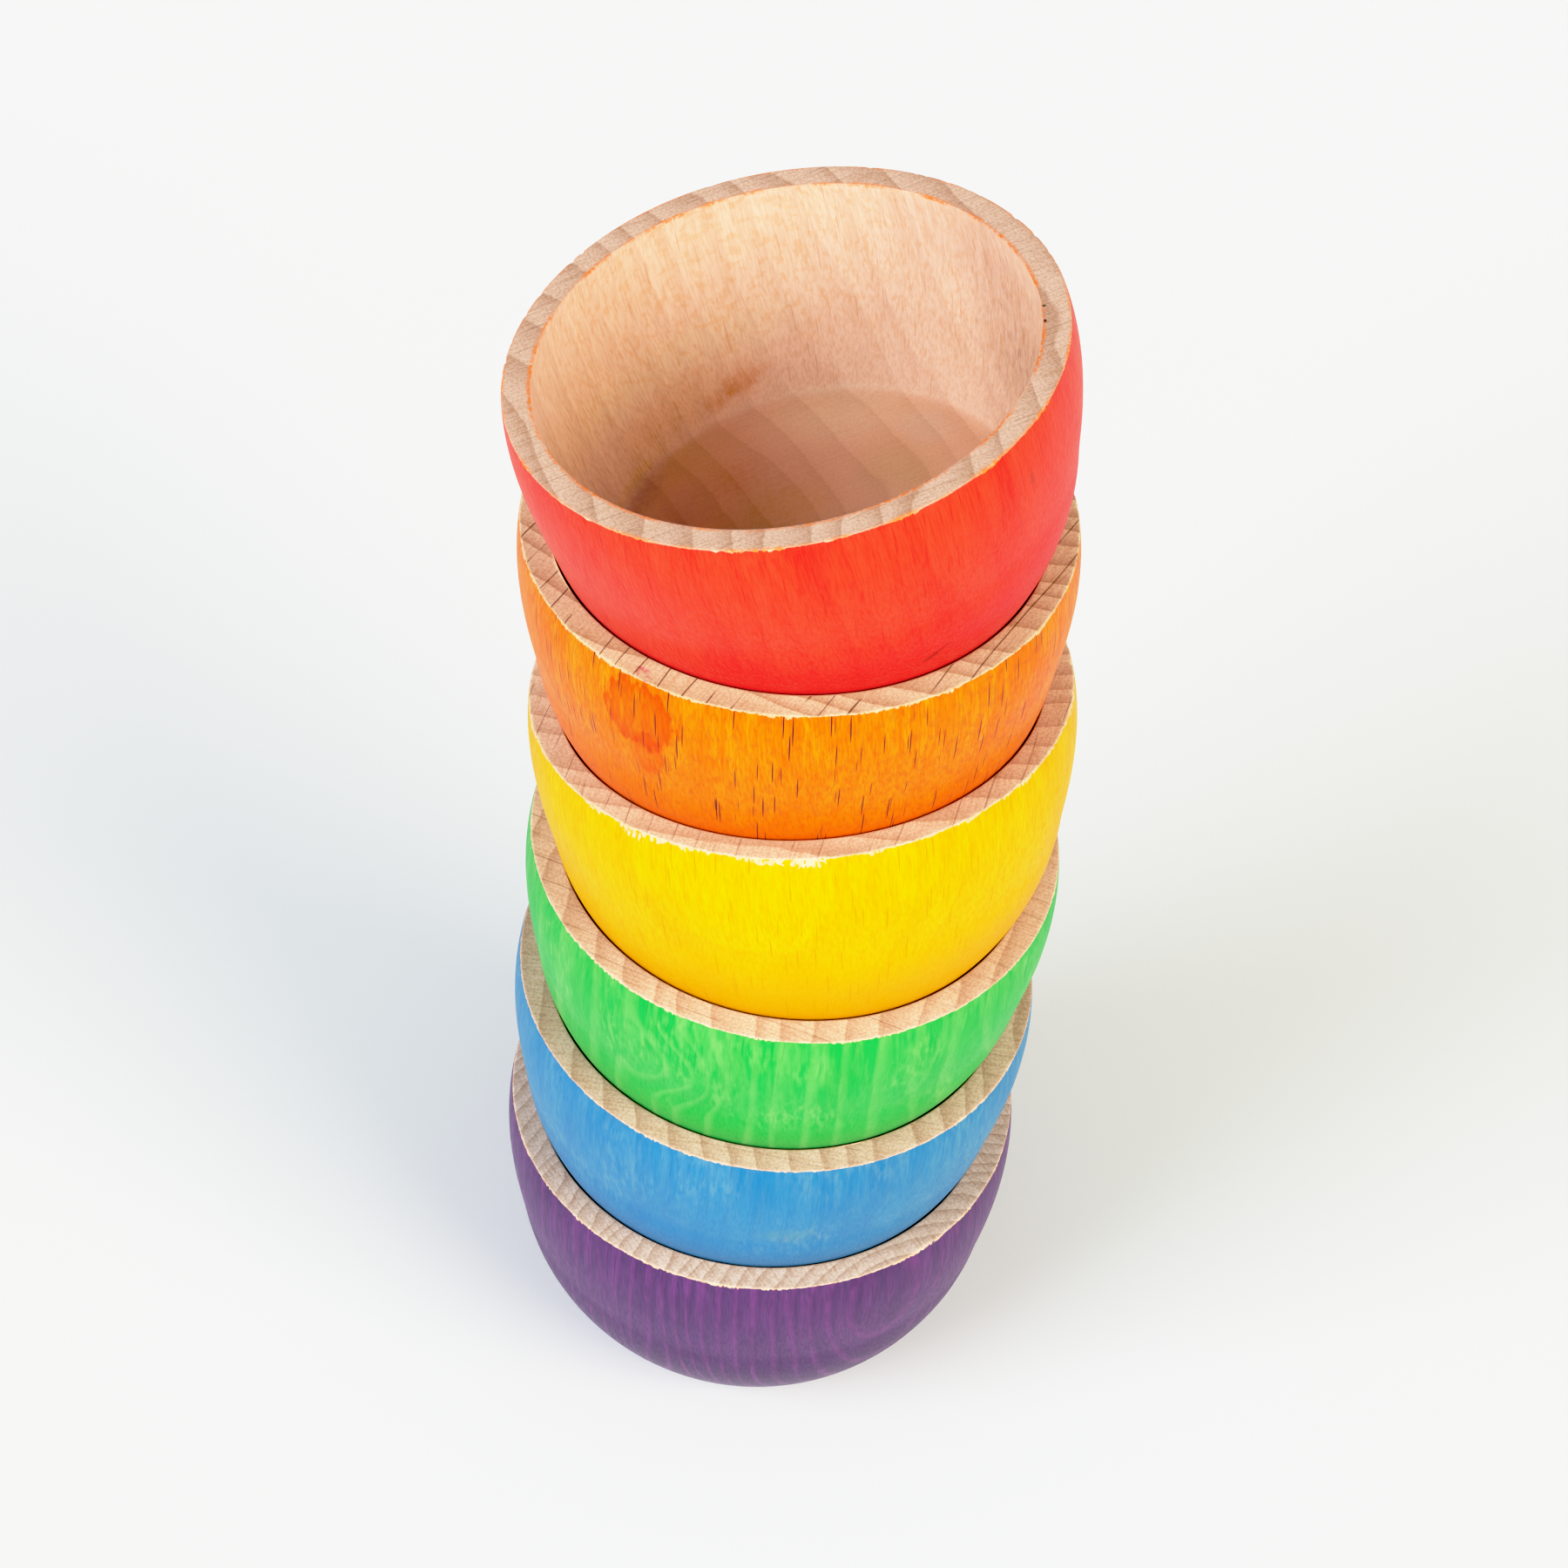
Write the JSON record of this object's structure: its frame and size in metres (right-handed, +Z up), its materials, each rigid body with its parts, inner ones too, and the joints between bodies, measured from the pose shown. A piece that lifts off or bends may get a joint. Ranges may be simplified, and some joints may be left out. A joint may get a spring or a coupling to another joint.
{
  "type": "stacking bowl set",
  "caption": "Leaning stack of equal turned wooden bowls, each stained one colour outside and bare inside, that seat foot first in the mouth below and lift off one by one.",
  "frame": {"origin": "centre of the bottom bowl's flat foot, on the surface that the stack stands on", "axes": "+Z up along the bottom bowl's axis, -Y towards the picture's camera, +X to the right in the picture"},
  "size_m": [0.0759, 0.076, 0.1842],
  "materials": {
    "violet_stain": "satin violet stain on turned beech, bare on the rim and inside",
    "blue_stain": "satin blue stain on turned beech, bare on the rim and inside",
    "green_stain": "satin green stain on turned beech, bare on the rim and inside",
    "yellow_stain": "satin yellow stain on turned beech, bare on the rim and inside",
    "orange_stain": "satin orange stain on turned beech, bare on the rim and inside",
    "red_stain": "satin red stain on turned beech, bare on the rim and inside"
  },
  "bodies": {
    "violet": {"bowl_violet": "violet_stain"},
    "blue": {"bowl_blue": "blue_stain"},
    "green": {"bowl_green": "green_stain"},
    "yellow": {"bowl_yellow": "yellow_stain"},
    "orange": {"bowl_orange": "orange_stain"},
    "red": {"bowl_red": "red_stain"}
  },
  "joints": [
    {"name": "lift_blue", "type": "slide", "parent": "violet", "child": "blue", "axis": [0, 0, 1], "range_m": [0, 0.04]},
    {"name": "lift_green", "type": "slide", "parent": "blue", "child": "green", "axis": [0, 0, 1], "range_m": [0, 0.04]},
    {"name": "lift_yellow", "type": "slide", "parent": "green", "child": "yellow", "axis": [0, 0, 1], "range_m": [0, 0.04]},
    {"name": "lift_orange", "type": "slide", "parent": "yellow", "child": "orange", "axis": [0, 0, 1], "range_m": [0, 0.04]},
    {"name": "lift_red", "type": "slide", "parent": "orange", "child": "red", "axis": [0, 0, 1], "range_m": [0, 0.04]}
  ]
}
